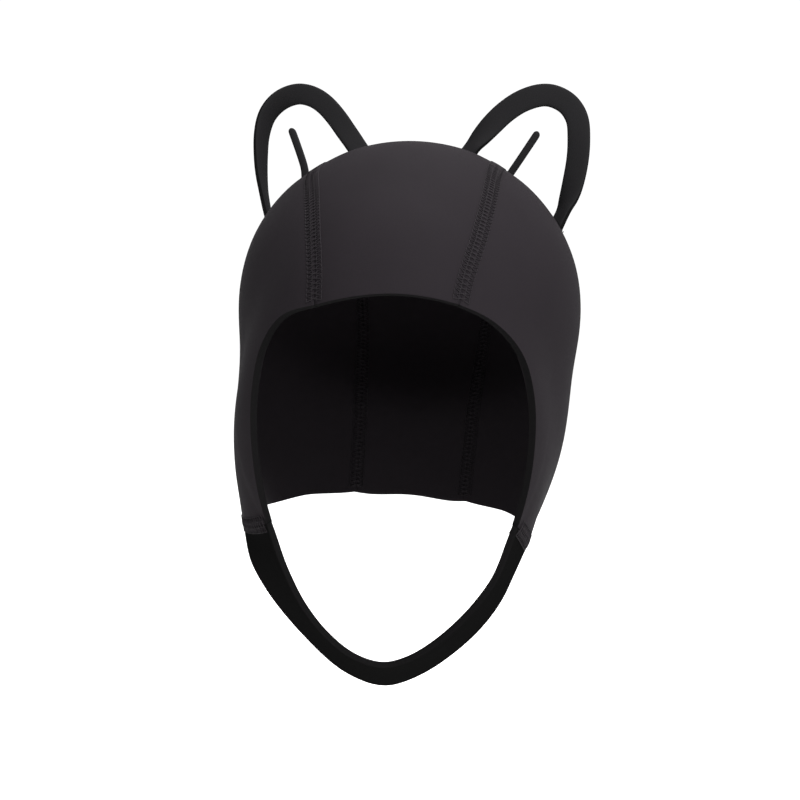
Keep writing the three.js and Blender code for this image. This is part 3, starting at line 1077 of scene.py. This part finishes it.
class CAP_OT_seams(bpy.types.Operator):
    """Sews the crown seams and the strap's joints with flat seams, inside and outside"""

    bl_idname = "cap.seams"
    bl_label = "Flat Seams"

    def execute(self, context):
        sizes = context.scene.cap_sizes
        sheets = {name: piece_of(name) for name in SHEETS}
        skin = skin_of(sheets.values())
        threads_on = {name: [] for name in SHEETS}
        for side in SIDE_SIGN:
            for seam in FLAT_SEAMS:
                rays = seam["rays"](side)
                line = felt_line(skin, rays)
                if len(line) < len(rays) // 2:
                    raise RuntimeError(f"the {side} {seam['label']} seam isn't found on the sheets")
                threads = flat_seam_threads(skin, line, sizes)
                threads += flat_seam_threads(skin, outer_line(line), sizes)
                name = f"{side}_{seam['label']}_seam_threads"
                piece = thread_piece(name, threads, sizes.thread_width)
                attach(piece, BODY)
                threads_on[seam["node"]].append(piece)
        return {"FINISHED"}


class CAP_OT_ear_stitches(bpy.types.Operator):
    """Sews the feet of the ears and the tongues to the crown"""

    bl_idname = "cap.ear_stitches"
    bl_label = "Ear Stitching"

    def execute(self, context):
        sizes = context.scene.cap_sizes
        skin = skin_of([piece_of(name) for name in CROWN_SHEETS])
        for side in SIDE_SIGN:
            loop = piece_of(side + "_ear_loop")
            tongue = piece_of(side + "_ear_tongue")
            threads = foot_stitches(loop, skin, sizes) + foot_stitches(tongue, skin, sizes)
            if not threads:
                raise RuntimeError(f"the {side} ear doesn't stand on the crown")
            piece = thread_piece(side + "_ear_threads", threads, sizes.thread_width)
            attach(piece, BODY)
        return {"FINISHED"}


def towards(azimuth, elevation):
    """The direction from the cap to a place round it, by angles in radians."""
    return Vector((
        math.sin(azimuth) * math.cos(elevation),
        -math.cos(azimuth) * math.cos(elevation),
        math.sin(elevation),
    ))


class CAP_OT_stage(bpy.types.Operator):
    """Sets up the plain floor, the soft lights, the pale surround and the camera"""

    bl_idname = "cap.stage"
    bl_label = "Stage"

    def execute(self, context):
        settings = context.scene.cap_stage
        aim = Vector(settings.camera_aim)
        self.add_floor(settings)
        self.add_surround(context, settings)
        for row in LIGHTS:
            self.add_light(context, row, aim)
        self.add_camera(context, settings, aim)
        context.scene.view_settings.view_transform = "Standard"
        return {"FINISHED"}

    def add_floor(self, settings):
        """A wide, plain, pale floor."""
        bpy.ops.object.select_all(action="DESELECT")
        bpy.ops.mesh.primitive_circle_add(vertices=96, radius=FLOOR_RADIUS, fill_type="NGON")
        floor = bpy.context.view_layer.objects.active
        floor.name = "studio_floor"
        floor.data.transform(Matrix.Translation((0.0, 0.0, -settings.floor_drop)))
        finish = Finish("pale_floor")
        place = finish.node("ShaderNodeTexCoord").output("Object")
        grain = finish.noise(place, **FLOOR_GRAIN)
        surface = finish.node(
            "ShaderNodeBsdfPrincipled",
            inputs={
                "Base Color": finish.tinted(tuple(settings.floor_colour), 0.98 + grain * 0.02),
                "Roughness": 0.9,
                "Specular IOR Level": 0.1,
            },
        )
        floor.data.materials.append(finish.close(surface))

    def add_surround(self, context, settings):
        """An even, pale light from all round."""
        world = bpy.data.worlds.new("pale_surround")
        world.use_nodes = True
        backdrop = world.node_tree.nodes["Background"]
        backdrop.inputs["Color"].default_value = (1.0, 1.0, 1.0, 1.0)
        backdrop.inputs["Strength"].default_value = settings.surround
        context.scene.world = world

    def add_light(self, context, row, aim):
        """One soft, round light that faces the cap."""
        data = bpy.data.lights.new(row["name"], "AREA")
        data.shape = "DISK"
        data.size = row["size"]
        data.energy = row["watts"]
        light = bpy.data.objects.new(row["name"], data)
        context.scene.collection.objects.link(light)
        way = towards(math.radians(row["azimuth"]), math.radians(row["elevation"]))
        light.location = aim + way * row["distance"]
        light.rotation_euler = way.to_track_quat("Z", "Y").to_euler()

    def add_camera(self, context, settings, aim):
        """The camera at the photo's angle, rolled as the photo is."""
        back = towards(settings.camera_azimuth, settings.camera_elevation)
        right = Vector((0.0, 0.0, 1.0)).cross(back).normalized()
        up = back.cross(right)
        cos, sin = math.cos(settings.camera_roll), math.sin(settings.camera_roll)
        rolled_right = right * cos + up * sin
        rolled_up = up * cos - right * sin
        turn = Matrix((rolled_right, rolled_up, back)).transposed().to_4x4()
        data = bpy.data.cameras.new("photo_camera")
        data.sensor_width = SENSOR_WIDTH
        data.lens = settings.lens
        data.clip_start = NEAREST_SEEN
        camera = bpy.data.objects.new("photo_camera", data)
        context.scene.collection.objects.link(camera)
        camera.matrix_world = Matrix.Translation(aim + back * settings.camera_distance) @ turn
        context.scene.camera = camera


class CAP_PT_sidebar(bpy.types.Panel):
    """Lists the steps that build the cap, and its settings"""

    bl_idname = "CAP_PT_sidebar"
    bl_label = "Diving Cap"
    bl_space_type = "VIEW_3D"
    bl_region_type = "UI"
    bl_category = "Diving Cap"

    def draw(self, context):
        """A button for each step, and a box for each group of settings."""
        scene = context.scene
        for step in STEPS:
            self.layout.operator(step.bl_idname)
        for group in (scene.cap_sizes, scene.cap_colours, scene.cap_stage):
            box = self.layout.box()
            for name in group.bl_rna.properties.keys():
                if name not in ("rna_type", "name"):
                    box.prop(group, name)


STEPS = (CAP_OT_panels, CAP_OT_ears, CAP_OT_seams, CAP_OT_ear_stitches, CAP_OT_stage)
GROUPS = {"cap_sizes": CapSizes, "cap_colours": CapColours, "cap_stage": StageSettings}


def register():
    """Registers the settings, the steps and the panel."""
    for name, group in GROUPS.items():
        bpy.utils.register_class(group)
        setattr(bpy.types.Scene, name, bpy.props.PointerProperty(type=group))
    for step in (*STEPS, CAP_PT_sidebar):
        bpy.utils.register_class(step)


def unregister():
    """Takes the panel, the steps and the settings out again."""
    for step in (CAP_PT_sidebar, *reversed(STEPS)):
        bpy.utils.unregister_class(step)
    for name, group in reversed(GROUPS.items()):
        delattr(bpy.types.Scene, name)
        bpy.utils.unregister_class(group)


def main():
    """Builds the cap and its stage."""
    register()
    bpy.ops.cap.panels()
    bpy.ops.cap.ears()
    bpy.ops.cap.seams()
    bpy.ops.cap.ear_stitches()
    bpy.ops.cap.stage()


if __name__ == "__main__":
    main()
